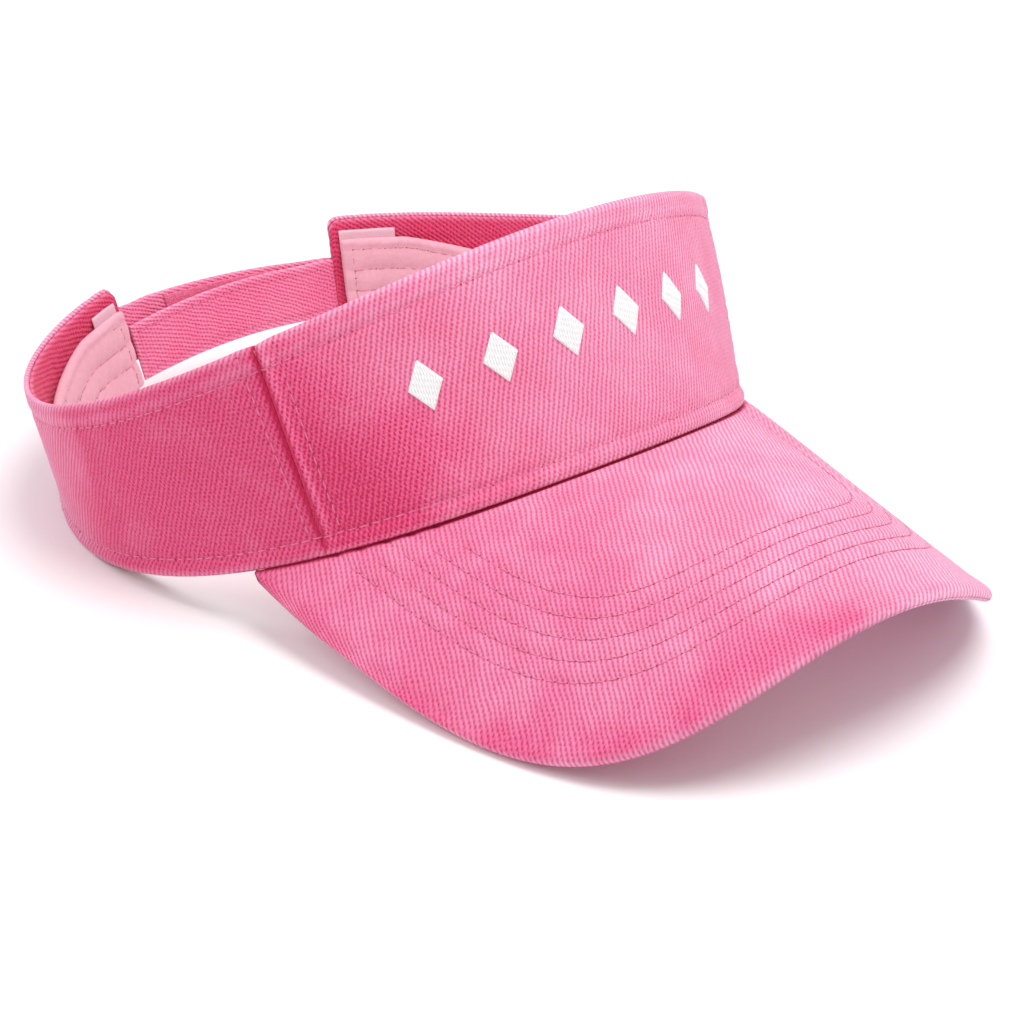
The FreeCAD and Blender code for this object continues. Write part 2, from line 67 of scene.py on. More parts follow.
def wave_height(turn, heights):
    front, side, back = heights
    first, second = (front - back) / 2.0, (front + back - 2.0 * side) / 4.0
    mean = (front + back + 2.0 * side) / 4.0
    return mean + first * np.cos(turn) + second * np.cos(2.0 * turn)


def edge_of_band(angle, half_width, front_y, back_y, setback, heights):
    turn = np.radians(angle)
    half_length = (back_y - front_y) / 2.0
    x = half_width * np.sin(turn)
    y = (back_y + front_y) / 2.0 - half_length * np.cos(turn) + setback * np.sin(turn) ** 2
    return np.stack([x, y, wave_height(turn, heights) + floor_lift], -1)


def lower_edge(angle):
    front_y, back_y = -HEAD_HALF_LENGTH, HEAD_HALF_LENGTH
    return edge_of_band(angle, HEAD_HALF_WIDTH, front_y, back_y, LOWER_SETBACK, LOWER_HEIGHTS)


def upper_edge(angle):
    width = HEAD_HALF_WIDTH + FLARE
    return edge_of_band(angle, width, UPPER_FRONT_Y, UPPER_BACK_Y, UPPER_SETBACK, UPPER_HEIGHTS)


def outwards(angle):
    ahead, behind = angle + 0.5, angle - 0.5
    step = lower_edge(ahead) - lower_edge(behind) + upper_edge(ahead) - upper_edge(behind)
    level = np.stack([step[..., 1], -step[..., 0], 0.0 * step[..., 0]], -1)
    return level / np.linalg.norm(level, axis=-1, keepdims=True)


def slant(angle):
    return np.linalg.norm(upper_edge(angle) - lower_edge(angle), axis=-1)


def band(angle, level, offset):
    level, offset = np.asarray(level)[..., None], np.asarray(offset)[..., None]
    return lower_edge(angle) * (1.0 - level) + upper_edge(angle) * level + outwards(angle) * offset


around_angles = np.linspace(-230.0, 230.0, 921)
around_points = band(around_angles, 0.5 + 0.0 * around_angles, 0.0 * around_angles)
around_steps = np.linalg.norm(np.diff(around_points, axis=0), axis=1)
around_lengths = np.concatenate([[0.0], np.cumsum(around_steps)])
around_lengths -= np.interp(0.0, around_angles, around_lengths)


def along_head(angle):
    """Distance round the band from the centre of the front."""
    return np.interp(angle, around_angles, around_lengths)


def angle_at(distance):
    return np.interp(distance, around_lengths, around_angles)


def spread(start, end, spacing, roll):
    """Places from start to end, closer together where a cut edge is rolled over."""
    count = max(2, int(round((end - start - 2.0 * roll) / spacing)))
    inner = np.linspace(start + roll, end - roll, count + 1)
    turn = np.radians(np.array([0.0, 25.0, 48.0, 70.0]))
    rolled = roll * (1.0 - np.cos(turn))
    return np.concatenate([start + rolled, inner, (end - rolled)[::-1]])


def roundness(distance, roll):
    part = np.clip(1.0 - distance / roll, 0.0, 1.0)
    return np.sqrt(np.clip(1.0 - part ** 2, 0.0, 1.0))


def swell(distance, height, width):
    """A soft ridge, or with a height below nothing a soft groove, across a line on the cloth."""
    return height * np.exp(-(distance / width) ** 2)


def stitched_in(distance, depth=0.3, width=0.85):
    """How far cloth is drawn down beside a row of stitching."""
    return swell(distance, -depth, width)


def puckers(u, v, distance, amount=0.1, reach=3.4):
    """Small gathers that run away from a row of stitching."""
    ripple = np.sin(u * 0.93 + 1.7 * np.sin(u * 0.21) + 0.35 * v)
    ripple = ripple + 0.6 * np.sin(u * 1.71 + 2.0 * np.sin(u * 0.13))
    return ripple * swell(distance, amount, reach)


def sewn_sheet(name, outer, inner, uv, wear_and_painted_light):
    """A cloth piece from its two faces, which meet along all four edges; uv is in millimetres."""
    rows, columns = uv.shape[:2]
    sides = []
    for number, face in enumerate((outer, inner)):
        bpy.ops.object.select_all(action="DESELECT")
        bpy.ops.mesh.primitive_grid_add(x_subdivisions=columns - 1, y_subdivisions=rows - 1, size=1.0)
        side = bpy.context.object
        mesh = side.data
        mesh.vertices.foreach_set("co", (face * 0.001).astype(np.float32).ravel())
        corner = np.zeros(len(mesh.loops), np.int32)
        mesh.loops.foreach_get("vertex_index", corner)
        mesh.uv_layers[0].name = "cloth"
        laid = uv.reshape(-1, 2)[corner].astype(np.float32)
        mesh.uv_layers["cloth"].data.foreach_set("uv", laid.ravel())
        # This per-point layer carries real wear and painted light, which both make the cloth paler, and,
        # below nothing, painted shade in seams, grooves and shaded parts.
        wear_and_light_layer = mesh.attributes.new("wear_and_painted_light", "FLOAT", "POINT")
        wear_and_light_layer.data.foreach_set("value", wear_and_painted_light.astype(np.float32).ravel())
        if number:
            mesh.flip_normals()
        sides.append(side)
    bpy.ops.object.select_all(action="DESELECT")
    for side in sides:
        side.select_set(True)
    bpy.context.view_layer.objects.active = sides[0]
    bpy.ops.object.join()
    piece = bpy.context.object
    piece.name = name
    piece.data.name = name
    bpy.ops.object.mode_set(mode="EDIT")
    bpy.ops.mesh.select_all(action="SELECT")
    bpy.ops.mesh.remove_doubles(threshold=0.000004)
    bpy.ops.mesh.normals_make_consistent(inside=False)
    bpy.ops.object.mode_set(mode="OBJECT")
    bpy.ops.object.shade_smooth()
    piece.location = (0.0, 0.0, 0.0)
    return piece


def add_node(tree, kind, inputs, operation=None, **settings):
    """Adds one node, sets its inputs from values or from other nodes' sockets, and returns it."""
    made = tree.nodes.new(kind)
    if operation:
        made.operation = operation
    for key, value in settings.items():
        setattr(made, key, value)
    for key, value in inputs.items():
        if isinstance(value, bpy.types.NodeSocket):
            tree.links.new(value, made.inputs[key])
        else:
            made.inputs[key].default_value = value
    return made


def arithmetic(tree, operation, *inputs, clamp=False):
    """One sum in a material; returns the socket that carries its answer."""
    made = add_node(tree, "ShaderNodeMath", dict(enumerate(inputs)), operation, use_clamp=clamp)
    return made.outputs[0]


def wave(tree, turn):
    """A smooth wave between 0 and 1."""
    return arithmetic(tree, "MULTIPLY_ADD", arithmetic(tree, "SINE", turn), 0.5, 0.5)


def noise(tree, where, scale, detail, roughness=0.5):
    inputs = {"Vector": where, "Scale": scale, "Detail": detail, "Roughness": roughness}
    return add_node(tree, "ShaderNodeTexNoise", inputs)


def cloth_places(tree):
    """The places on a sheet laid flat, in millimetres."""
    return add_node(tree, "ShaderNodeUVMap", {}, uv_map="cloth").outputs[0]


def new_finish(name, roughness, shine=0.5, sheen=0.0):
    material = bpy.data.materials.new(name)
    material.use_nodes = True
    shader = material.node_tree.nodes["Principled BSDF"]
    shader.inputs["Roughness"].default_value = roughness
    shader.inputs["Specular IOR Level"].default_value = shine
    shader.inputs["Sheen Weight"].default_value = sheen
    return material, material.node_tree, shader


def two_colours(tree, share, low, high):
    """Goes from the low to the high colour as share goes from 0 to 1."""
    inputs = {0: share, 6: low, 7: high}
    for key in (6, 7):
        if isinstance(inputs[key], tuple):
            inputs[key] = (*inputs[key], 1.0)
    return add_node(tree, "ShaderNodeMix", inputs, data_type="RGBA").outputs[2]


def finish_surface(tree, shader, colour, height=None, strength=0.0, depth=0.0, invert=False):
    """Gives a shader its colour, and a raised surface where a height is given."""
    tree.links.new(colour, shader.inputs["Base Color"])
    if height is not None:
        inputs = {"Strength": strength, "Distance": depth, "Height": height}
        bump = add_node(tree, "ShaderNodeBump", inputs, invert=invert)
        tree.links.new(bump.outputs[0], shader.inputs["Normal"])


RIB_PITCH, YARN_PITCH, TWILL_DEPTH = 1.27, 1.15, 0.0003


def twill(name, lean, rib, valley, pale_colour, pitch=RIB_PITCH, wash=0.3):
    """Washed cotton twill: leaning ribs of dyed yarn, darker between, paler where the cloth has rubbed and
    where painted light falls, and darker towards the valley colour where painted shade is laid on.
    """
    material, tree, shader = new_finish(name, 0.88, 0.18, 0.22)
    shader.inputs["Sheen Roughness"].default_value = 0.45
    shader.inputs["Sheen Tint"].default_value = (1.0, 0.72, 0.84, 1.0)
    cloth = cloth_places(tree)
    place = cloth
    for scale, detail, push in ((0.14, 5.0, 1.4), (1.3, 2.0, 0.5)):
        drift = {0: noise(tree, cloth, scale, detail).outputs["Color"], 1: (0.5, 0.5, 0.5)}
        drift = {0: add_node(tree, "ShaderNodeVectorMath", drift, "SUBTRACT").outputs[0], "Scale": push}
        drift = {0: place, 1: add_node(tree, "ShaderNodeVectorMath", drift, "SCALE").outputs[0]}
        place = add_node(tree, "ShaderNodeVectorMath", drift, "ADD").outputs[0]
    turned = add_node(tree, "ShaderNodeMapping", {"Vector": place, "Rotation": (0, 0, math.radians(lean))})
    across, along = add_node(tree, "ShaderNodeSeparateXYZ", {0: turned.outputs[0]}).outputs[:2]
    ribs = wave(tree, arithmetic(tree, "MULTIPLY", across, 2.0 * math.pi / pitch))
    yarn_turn = arithmetic(tree, "MULTIPLY", along, 2.0 * math.pi / YARN_PITCH)
    yarns = wave(tree, arithmetic(tree, "MULTIPLY_ADD", across, math.pi / pitch, yarn_turn))
    heather = noise(tree, cloth, 1.5, 5.0, 0.75).outputs[0]

    gap = arithmetic(tree, "POWER", arithmetic(tree, "SUBTRACT", 1.0, ribs), 1.5)
    dashes = arithmetic(tree, "MULTIPLY_ADD", yarns, 0.85, 0.22)
    uneven = arithmetic(tree, "MULTIPLY_ADD", heather, 2.2, -0.15)
    dashed_gap = arithmetic(tree, "MULTIPLY", gap, arithmetic(tree, "MULTIPLY", dashes, uneven))
    speckle = arithmetic(tree, "MULTIPLY_ADD", heather, 2.3, -1.02)
    marked = arithmetic(tree, "ADD", dashed_gap, speckle, clamp=True)
    # Above nothing the layer pales the cloth for real rubbing and for painted light; below nothing it
    # darkens it towards the valley colour as painted shade.
    rubbed_and_painted_light = add_node(tree, "ShaderNodeAttribute", {}, attribute_name="wear_and_painted_light").outputs["Fac"]
    painted_shade = arithmetic(tree, "MULTIPLY", rubbed_and_painted_light, -1.4, clamp=True)
    shade = arithmetic(tree, "ADD", marked, painted_shade, clamp=True)
    dyed = two_colours(tree, shade, rib, valley)

    patches = {0: noise(tree, cloth, 0.045, 4.0, 0.6).outputs[0], 1: 0.42, 2: 0.7, 3: 0.0, 4: wash}
    patch_share = add_node(tree, "ShaderNodeMapRange", patches).outputs[0]
    rub_and_light_noise = arithmetic(tree, "MULTIPLY", heather, rubbed_and_painted_light)
    rub_and_light_share = arithmetic(tree, "MULTIPLY_ADD", rub_and_light_noise, 1.5, patch_share, clamp=True)
    on_ribs = arithmetic(tree, "MULTIPLY_ADD", ribs, 0.6, 0.4)
    colour = two_colours(tree, arithmetic(tree, "MULTIPLY", rub_and_light_share, on_ribs), dyed, pale_colour)

    rib_height = arithmetic(tree, "POWER", ribs, 0.7)
    yarn_height = arithmetic(tree, "MULTIPLY_ADD", yarns, -0.35, rib_height)
    height = arithmetic(tree, "MULTIPLY_ADD", heather, 0.55, yarn_height)
    finish_surface(tree, shader, colour, height, 0.75, TWILL_DEPTH)
    return material


SEAM_PLACE, END_PLACE = float(along_head(FRONT_SEAM)), float(along_head(PANEL_END))
END_ROWS, END_CORNER = (3.0, 9.0), 3.2
OUTER_FACE, DEEPEST_GROOVE = 1.22, -0.62


def side_row(level):
    """The side panel's own row beside the seam closes in on it towards the lower edge."""
    return 2.6 + 2.4 * level


def seam_share(above):
    """The seam's fold is pressed flat where the lower hem is turned up over it."""
    return np.clip((above - 1.5) / 4.5, 0.0, 1.0)


def outer_relief(u, level):
    """Raised hems, drawn-down rows, gathers and slack of the outer twill, out from its smooth surface."""
    height = slant(angle_at(u))
    below, above = (1.0 - level) * height, level * height
    relief = stitched_in(below - UPPER_HEM) + stitched_in(above - LOWER_HEM, 0.4)
    relief += puckers(u, below, below - UPPER_HEM, 0.12) + puckers(u + 9.0, above, above - LOWER_HEM, 0.12)
    relief += swell(below - 3.4, 0.3, 2.2) + swell(above - 1.9, 0.55, 1.5)
    past = np.abs(u) - SEAM_PLACE
    relief += (swell(past + 2.0, 0.55, 1.3) + swell(past - 0.4, -0.95, 1.1)) * seam_share(above)
    relief += stitched_in(past + SEAM_ROW, 0.28) + puckers(above * 1.3, u, past + SEAM_ROW, 0.1, 4.0)
    side_away = past - side_row(level)
    relief += stitched_in(side_away, 0.28) + puckers(above * 1.5, u, side_away, 0.12, 4.0)
    for inset in END_ROWS:
        relief += stitched_in(END_PLACE - inset - np.abs(u), 0.2)
    slack = np.sin(u * 0.055 + 0.8) * np.sin(above * 0.09 + u * 0.02) + 0.6 * np.sin(u * 0.11 - above * 0.06)
    relief += 0.35 * slack * np.clip(below / 12.0, 0.0, 1.0) * np.clip(above / 12.0, 0.0, 1.0)
    return np.maximum(relief, DEEPEST_GROOVE)


def outer_place(u, level, lift):
    """Places on the outer twill's own surface, and this far above it."""
    return band(angle_at(u), level, OUTER_FACE + outer_relief(u, level) + lift)


def end_corner(u):
    """How far the upper edge comes down where it is rounded off at the panel ends."""
    return END_CORNER * (1.0 - roundness(END_PLACE - np.abs(u), END_CORNER))


def outer_panel(name, start, end, painted_light_and_fade):
    """An outer twill panel between two angles; it folds over the stiffening along its upper edge."""
    first, last = float(along_head(start)), float(along_head(end))
    u, part = np.meshgrid(spread(first, last, 0.85, 0.9), spread(0.0, 1.0, 0.0145, 0.016), indexing="ij")
    angle = angle_at(u)
    height = slant(angle)
    past = np.abs(u) - SEAM_PLACE
    notch = swell(past, 0.5, 1.5) + end_corner(u)
    level = -0.4 / height + part * (1.0 + (0.4 - notch) / height)
    below, above = (1.0 - part) * height, part * height
    from_side = np.minimum(u - first, last - u)
    outer = OUTER_FACE + outer_relief(u, level)
    inner = outer - CLOTH - swell(below, 0.85, 1.5) - swell(above, 0.5, 1.2)
    closing = roundness(np.minimum(below, above), 0.95) * roundness(from_side, 0.7)
    middle, half = (outer + inner) / 2.0, (outer - inner) / 2.0 * closing
    faces = [band(angle, level, middle + side * half) for side in (1.0, -1.0)]
    # Paler along the folds and beside the upper row from wear; across the panel paler and darker as painted
    # light and shade, partly real fading and wear; the seam valley and the lower edge's underside above the
    # peak darkened as painted shade.
    wear_and_painted_light = swell(below, 0.6, 1.3) + swell(above - 0.6, 0.5, 1.1) + swell(below - 4.4, 0.25, 1.3)
    wear_and_painted_light += painted_light_and_fade(angle, level) + (swell(past + 2.4, 0.3, 1.0) + swell(past, -1.1, 0.9)) * seam_share(above)
    wear_and_painted_light -= 1.3 * np.clip(1.0 - above / 0.7, 0.0, 1.0) * (np.abs(angle) < 64.0)
    return sewn_sheet(name, faces[0], faces[1], np.stack([u, part * height], -1), np.clip(wear_and_painted_light, -1.0, 1.0))


def front_fade_and_painted_light(angle, level):
    """Paler towards the wearer's left and the upper edge, partly daylight bleaching and partly painted
    light; a little darker all over, and most at the lower corner by the wearer's right seam, as painted
    shade.
    """
    seam_corner_shade = np.clip((-angle - 20.0) / 22.0, 0.0, 1.0) * np.clip(1.35 - level, 0.0, 1.0)
    return 0.75 * np.clip((angle + 50.0) / 40.0 + 0.5 * (level - 0.7), 0.0, 1.0) - 0.14 - 0.16 * seam_corner_shade


front_twill = twill("pink_twill_front", 25.0, PINK_RIB, PINK_VALLEY, PINK_WASHED_AND_LIT)
front_panel = outer_panel("front_twill", -FRONT_SEAM, FRONT_SEAM, front_fade_and_painted_light)
front_panel.data.materials.append(front_twill)
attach(front_panel, "band")
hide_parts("front_panel")

# ---- Side panels ----
# The same twill, one tapering piece each side, from the front seam round to the closure.
# They stand without stiff buckram, so they carry more of the cloth's own slack.


# Paler towards the panels' back ends, partly wear and partly painted light where the back light falls; a
# little darker elsewhere as painted shade.
def side_wear_and_painted_light(angle, level):
    return 0.95 * np.clip((np.abs(angle) - 86.0) / 25.0, 0.0, 1.0) - 0.1


# The side copy of the twill has a darker rib colour than the front: painted shade on the side panels.
side_twill = twill("pink_twill_side_shaded", 31.0, (0.83, 0.14, 0.305), PINK_VALLEY, PINK_WASHED_AND_LIT, wash=0.2)
for side, side_name in ((1.0, "left"), (-1.0, "right")):
    start, end = sorted((side * FRONT_SEAM, side * PANEL_END))
    panel = outer_panel("side_twill_" + side_name, start, end, side_wear_and_painted_light)
    panel.data.materials.append(side_twill)
    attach(panel, "band")
    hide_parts("side_panel_" + side_name)

# ---- Linings ----
# Twill again, facing inwards, sewn along the upper edge right sides together and turned, which
# leaves a fine groove along the top of the band.  The interlinings between stay plain.
LINING_BACK, LINING_CLOTH = -1.05, 0.7
LINING_RIB, LINING_VALLEY, LINING_WASHED = (0.87, 0.08, 0.21), (0.55, 0.012, 0.06), (0.93, 0.33, 0.52)
lining_twill = twill("pink_twill_lining", 61.0, LINING_RIB, LINING_VALLEY, LINING_WASHED, wash=0.12)


def lining_panel(name, start, end):
    first, last = along_head(start), along_head(end)
    u_line = spread(first, last, 1.1, 0.8)
    v_line = spread(0.0, 1.0, 0.02, 0.014)
    u, level = np.meshgrid(u_line, v_line, indexing="ij")
    angle = angle_at(u)
    v = level * slant(angle)
    from_top, from_bottom = (1.0 - level) * slant(angle), v
    from_side = np.minimum(u - first, last - u)
    level = level * (1.0 - (0.8 + end_corner(u)) / slant(angle))
    relief = -0.6 * stitched_in(from_top - UPPER_HEM) - puckers(u, from_top, from_top - UPPER_HEM, 0.07)
    full = LINING_CLOTH + swell(from_top - 0.5, 0.35, 0.9)
    thickness = full * roundness(np.minimum(from_top, from_bottom), 0.6) * roundness(from_side, 0.5)
    middle = LINING_BACK + full / 2.0 + relief
    faces = [band(angle, level, middle + part * thickness / 2.0) for part in (1.0, -1.0)]
    return sewn_sheet(name, faces[0], faces[1], np.stack([u, v], -1), swell(from_top, 0.6, 0.9))


LININGS = (
    ("front_lining", -FRONT_SEAM, FRONT_SEAM, "front_buckram"),
    ("side_lining_left", FRONT_SEAM, PANEL_END, "side_interlining_left"),
    ("side_lining_right", -PANEL_END, -FRONT_SEAM, "side_interlining_right"),
)
for node_name, start, end, behind in LININGS:
    lining = lining_panel(node_name + "_twill", start, end)
    lining.data.materials.append(lining_twill)
    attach(lining, "band")
    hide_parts(node_name)


def plain_felt(name, colour, grain, bump_depth):
    """Bonded or woven filling that hardly shows: a pale colour, mottled, with a fibrous surface."""
    material, tree, shader = new_finish(name, 0.9)
    where = add_node(tree, "ShaderNodeTexCoord", {}).outputs["Object"]
    fibres = noise(tree, where, grain, 5.0).outputs[0]
    darker = tuple(part * 0.82 for part in colour)
    finish_surface(tree, shader, two_colours(tree, fibres, darker, colour), fibres, 0.6, bump_depth)
    return material


stiff_felt = plain_felt("white_interlining", (0.86, 0.86, 0.84), 900.0, 0.0001)
for node_name in ("front_buckram", "side_interlining_left", "side_interlining_right", "sweatband_pad"):
    nodes[node_name].data.materials.clear()
    nodes[node_name].data.materials.append(stiff_felt)
nodes["peak_seam_tape"].data.materials.clear()
nodes["peak_seam_tape"].data.materials.append(plain_felt("pink_tape", (0.80, 0.25, 0.42), 1400.0, 0.0001))

# ---- Peak ----
# Two twill covers sewn together round the edge, turned, and slipped over a bent board.
# Five rows of stitching follow the edge and hold the covers to the board.
BRIM_SEAM, BRIM_REACH, BRIM_SHOULDER, BRIM_HALF_WIDTH = 61.7, 87.6, 20.5, 77.0
BRIM_SWEEP, BRIM_SQUARENESS, BRIM_BULGE = 97.2, 0.71, 2.1
BRIM_HEIGHTS = (32.0, 5.1, -17.6)
BRIM_DEPTH = 3.2
ROW_FIRST, ROW_PITCH, ROWS, CORNER_EASE = 18.7, 5.1, 5, 7.0


def brim_seam(along):
    return band(along * BRIM_SEAM, 0.0 * along, 1.25 + 0.0 * along)


def brim_free_edge(along, lift):
    turn = np.radians(BRIM_SWEEP) * along
    side = np.cos(turn)
    y = -HEAD_HALF_LENGTH - BRIM_SHOULDER
    y = y - (BRIM_REACH - BRIM_SHOULDER) * np.sign(side) * np.abs(side) ** BRIM_SQUARENESS
    z = wave_height(np.pi * along, BRIM_HEIGHTS) + lift + floor_lift
    return np.stack([BRIM_HALF_WIDTH * np.sin(turn), y, z], -1)


def brim_edge(along, lift):
    side = np.where(along < 0.0, -1.0, 1.0)
    heel = brim_seam(side) - brim_free_edge(side, lift)
    return brim_free_edge(along, lift) + heel * (np.abs(along) ** 4)[..., None]


def brim_middle(along, out, lift):
    point = brim_seam(along) * (1.0 - out)[..., None] + brim_edge(along, lift) * out[..., None]
    point[..., 2] += BRIM_BULGE * 4.0 * out * (1.0 - out) * (1.0 - along ** 2)
    return point


def brim_normal(along, out, lift):
    low, high = np.clip(along - 0.004, -1.0, 1.0), np.clip(along + 0.004, -1.0, 1.0)
    across = brim_middle(high, out, lift) - brim_middle(low, out, lift)
    inside, outside = np.clip(out - 0.004, 0.0, 1.0), np.clip(out + 0.004, 0.0, 1.0)
    away = brim_middle(along, outside, lift) - brim_middle(along, inside, lift)
    normal = np.cross(away, across)
    return normal / np.linalg.norm(normal, axis=-1, keepdims=True)


# the peak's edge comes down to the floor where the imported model's does
sides = np.linspace(-0.9, 0.9, 91)
brim_lift = 0.0
for _ in range(8):
    lowest = brim_middle(sides, 1.0 + 0.0 * sides, brim_lift)[..., 2].min()
    packed_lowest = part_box("peak_under_cover")[0].z * 1000.0 + BRIM_DEPTH / 2.0 - 0.5
    brim_lift += (packed_lowest - lowest) * 1.3

edge_line = brim_edge(np.linspace(-1.0, 1.0, 321), brim_lift)
edge_steps = np.linalg.norm(np.diff(edge_line, axis=0), axis=1)
edge_line = (edge_line[1:] + edge_line[:-1]) / 2.0


def from_brim_edge(points):
    """Distance in from the peak's edge, eased so that a line of one distance rounds its corners."""
    flat = points.reshape(-1, 3)
    nearest, pull = np.full(len(flat), 1e9), np.zeros(len(flat))
    for start in range(0, len(edge_line), 40):
        away = np.linalg.norm(flat[:, None] - edge_line[None, start:start + 40], axis=2)
        nearest = np.minimum(nearest, away.min(1))
        pull += (np.exp(-away / CORNER_EASE) * edge_steps[start:start + 40]).sum(1)
    straight = np.sqrt(2.0 * np.pi * nearest * CORNER_EASE) * (1.0 + 0.375 * CORNER_EASE / nearest)
    eased = CORNER_EASE * np.log(straight / pull)
    return np.where(nearest > 10.0, eased, nearest).reshape(points.shape[:-1])


def brim_slack(along, out):
    return 0.2 * np.sin(along * 9.0 + out * 3.0) * np.sin(out * 6.0 + along * 2.0)


def brim_cover(name, top, trim):
    """The upper or the under cover: it rolls over the edge to meet the other along its middle."""
    along_line = np.concatenate([np.linspace(-trim, -0.8, 26)[:-1], np.linspace(-0.8, 0.8, 181),
                                 np.linspace(0.8, trim, 26)[1:]])
    tuck = [-0.02, -0.013, -0.007, 0.0, 0.004, 0.008, 0.012, 0.017]
    roll = 0.955 + 0.045 * np.sin(np.radians(np.linspace(6, 90, 12)))
    out_line = np.concatenate([tuck, np.linspace(0.024, 0.955, 94), roll])
    along, out = np.meshgrid(along_line, out_line, indexing="ij")
    middle = brim_middle(along, out, brim_lift)
    normal = brim_normal(along, np.clip(out, 0.0, 1.0), brim_lift)
    length = np.linalg.norm(brim_edge(along, brim_lift) - brim_seam(along), axis=-1)
    from_edge = length * (1.0 - out)
    rows_away = from_brim_edge(middle)
    rise = roundness(from_edge, 2.1)
    full = (BRIM_DEPTH / 2.0) * rise
    seam_lift = (BRIM_DEPTH / 2.0) * (1.0 - out)
    relief = swell(from_edge - 3.2, 0.35, 2.2)
    for row in range(ROWS):
        away = rows_away - ROW_FIRST - row * ROW_PITCH
        gathers = puckers(along * 120.0 + row * 5.0, out * 40.0, away, 0.07, 1.7)
        relief = relief + stitched_in(away, 0.34, 0.75) + gathers
    between = (rows_away > ROW_FIRST) & (rows_away < ROW_FIRST + (ROWS - 1) * ROW_PITCH)
    relief = relief + 0.10 * between * np.sin(np.pi * (rows_away - ROW_FIRST) / ROW_PITCH) ** 2
    relief = (relief + brim_slack(along, out)) * rise
    from_seam = np.clip(length * out, 0.0, None)
    groove = swell(from_seam, 1.0, 0.9)
    skin = (0.75 - 0.2 * groove) * rise
    heel = roundness(np.minimum(trim - along, trim + along) * 90.0, 1.2)
    if top:
        outer_height = full - seam_lift + relief - groove
        inner_height = outer_height - skin * heel
    else:
        outer_height = -full - seam_lift - relief * 0.6
        inner_height = outer_height + skin * heel
    seam_close = roundness(length * (out - out_line[0]), 0.6)
    centre = (outer_height + inner_height) / 2.0
    half = (outer_height - inner_height) / 2.0 * seam_close
    outer = middle + normal * (centre + half)[..., None]
    inner = middle + normal * (centre - half)[..., None]
    flat_step = np.hypot(np.diff(middle[..., 0], axis=0), np.diff(middle[..., 2], axis=0))
    flat_u = np.concatenate([np.zeros((1, along.shape[1])), np.cumsum(flat_step, axis=0)])
    flat_u -= flat_u[along.shape[0] // 2]
    uv = np.stack([flat_u, -middle[..., 1]], -1)
    # Paler towards the wearer's left and most at the tip there, partly sun fading and partly painted light;
    # paler at the edge from wear; darkened beside the seam as painted shade in the groove under the band.
    bleached_and_lit = np.clip((along + 0.4) / 0.7, 0.0, 1.0)
    inwards = from_edge / 22.0 + np.clip((along + 0.1) / 0.35, 0.0, 1.0)
    painted_light_and_fade = (0.3 + 0.7 * bleached_and_lit) * np.clip(inwards, 0.2, 1.0)
    tip_fade_and_light = np.clip((along - 0.05) / 0.25, 0.0, 1.0) * swell(from_edge, 0.6, 18.0)
    wear_and_painted_light = swell(from_edge, 0.5, 1.4) + painted_light_and_fade + tip_fade_and_light + swell(from_seam, -2.0, 1.0)
    return sewn_sheet(name, outer, inner, uv, np.clip(wear_and_painted_light, -1.0, 1.5))


PEAK_RIB, PEAK_VALLEY = (0.85, 0.145, 0.325), (0.56, 0.025, 0.11)
peak_twill = twill("pink_twill_peak", -33.0, PEAK_RIB, PEAK_VALLEY, PINK_WASHED_AND_LIT, wash=0.35)
for top, node_name in ((True, "peak_top_cover"), (False, "peak_under_cover")):
    cover = brim_cover(node_name + "_twill", top, 0.985)
    cover.data.materials.append(peak_twill)
    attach(cover, "band")
    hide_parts(node_name)

board_plastic = plain_felt("peak_board_sheet", (0.82, 0.82, 0.80), 300.0, 0.00004)
nodes["peak_board"].data.materials.clear()
nodes["peak_board"].data.materials.append(board_plastic)

# ---- Sweatband ----
# A strip of smooth cotton folded over a soft pad, quilted in rows, with its upper fold left free.
# It is sewn to the band along the lower edge and across both ends.
SWEAT_HEIGHT, SWEAT_CLEARANCE, SWEAT_INSET = 24.0, 5.8, 2.2
SWEAT_ROWS, SWEAT_END_ROW = (2.5, 8.5, 14.5), 3.0
SWEAT_BACK, SWEAT_FACE, SWEAT_CLOTH, FOLD_SHARE = -2.45, -4.65, 0.55, 0.05
COTTON_PITCH = 0.42
sweat_end = END_PLACE - SWEAT_INSET


def sweat_top(u):
    return np.minimum(SWEAT_HEIGHT, slant(angle_at(u)) - SWEAT_CLEARANCE)


def sweat_face(u, height):
    """The offset of the sweatband's inner face at a height above the band's lower edge."""
    below = sweat_top(u) - height
    puff = swell(below - 5.5, 0.3, 1.9) + swell(below - 11.5, 0.3, 1.9) + swell(below - 19.0, 0.3, 2.6)
    for row in SWEAT_ROWS:
        puff += stitched_in(below - row, 0.35, 0.9) + puckers(u + row, height, below - row, 0.11, 2.6)
    from_end = sweat_end - np.abs(u)
    from_row = from_end - SWEAT_END_ROW
    puff += stitched_in(from_row, 0.35) + puckers(height * 1.4, u, from_row, 0.1, 3.0)
    crease = 0.14 * np.sin(u * 0.31 + 1.4 * np.sin(height * 0.22)) + 0.08 * np.sin(u * 0.83 + height * 0.4)
    return SWEAT_FACE - puff - crease


